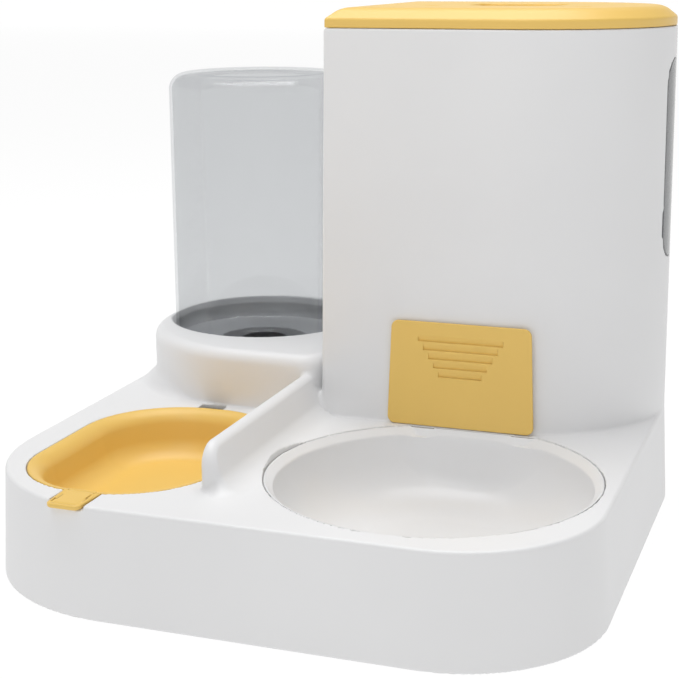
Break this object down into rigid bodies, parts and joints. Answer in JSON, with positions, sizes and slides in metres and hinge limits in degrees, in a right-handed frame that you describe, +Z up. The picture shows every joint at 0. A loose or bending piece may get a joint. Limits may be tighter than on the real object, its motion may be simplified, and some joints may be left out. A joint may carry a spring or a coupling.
{
  "type": "pet feeder",
  "caption": "Gravity pet feeder and waterer: lidded food hopper with a sliding outlet shutter, upturned bottle, and lift-out food and water bowls in one low base.",
  "frame": {"origin": "centre of the footprint, on the surface the feeder stands on", "axes": "+Z up; the bowls face -Y; the food hopper is at +X and the bottle at -X"},
  "size_m": [0.31, 0.325, 0.2722],
  "materials": {
    "white_shell": "satin moulded white ABS, very fine even grain",
    "yellow_plastic": "satin moulded warm yellow ABS",
    "clear_plastic": "clear polished PET with a faint grey tint",
    "window_tint": "grey tinted clear plastic, polished",
    "black_rubber": "black rubber, dull",
    "silicone": "translucent white silicone",
    "steel": "plated steel"
  },
  "bodies": {
    "housing": {"base_housing": "white_shell", "bottle_seat": "white_shell", "food_tower": "white_shell", "bottom_cover": "white_shell", "cover_screws": "steel", "rubber_feet": "black_rubber", "chute": "white_shell", "chute_screws": "steel", "window_lens": "window_tint", "window_gasket": "silicone", "water_tray": "white_shell", "tray_seal": "silicone", "valve_post": "white_shell"},
    "shutter": {"outlet_shutter": "yellow_plastic", "shutter_clips": "yellow_plastic", "shutter_screws": "steel"},
    "lid": {"lid": "yellow_plastic", "lid_liner": "white_shell", "lid_seal": "silicone"},
    "food_bowl": {"food_bowl": "white_shell"},
    "water_bowl": {"water_bowl": "yellow_plastic"},
    "bottle": {"bottle": "clear_plastic"},
    "cap": {"bottle_cap": "white_shell", "cap_gasket": "black_rubber", "valve_spring": "steel"},
    "valve": {"valve_stem": "steel", "valve_seal": "black_rubber"}
  },
  "joints": [
    {"name": "shutter_slide", "type": "slide", "parent": "housing", "child": "shutter", "axis": [0, 0, 1], "range_m": [0, 0.03]},
    {"name": "lid_lift", "type": "slide", "parent": "housing", "child": "lid", "axis": [0, 0, 1], "range_m": [0, 0.06]},
    {"name": "food_bowl_lift", "type": "slide", "parent": "housing", "child": "food_bowl", "axis": [0, 0, 1], "range_m": [0, 0.06]},
    {"name": "water_bowl_lift", "type": "slide", "parent": "housing", "child": "water_bowl", "axis": [0, 0, 1], "range_m": [0, 0.05]},
    {"name": "bottle_lift", "type": "slide", "parent": "housing", "child": "bottle", "axis": [0, 0, 1], "range_m": [0, 0.07]},
    {"name": "cap_turn", "type": "hinge", "parent": "bottle", "child": "cap", "pos_m": [-0.0909, 0.0991, 0.05], "axis": [0, 0, 1], "range_deg": [0, 90]},
    {"name": "valve_travel", "type": "slide", "parent": "cap", "child": "valve", "axis": [0, 0, 1], "range_m": [0, 0.003], "stiffness_N_per_m": 150, "springref_m": -0.004, "deforming": ["valve_spring"]}
  ]
}
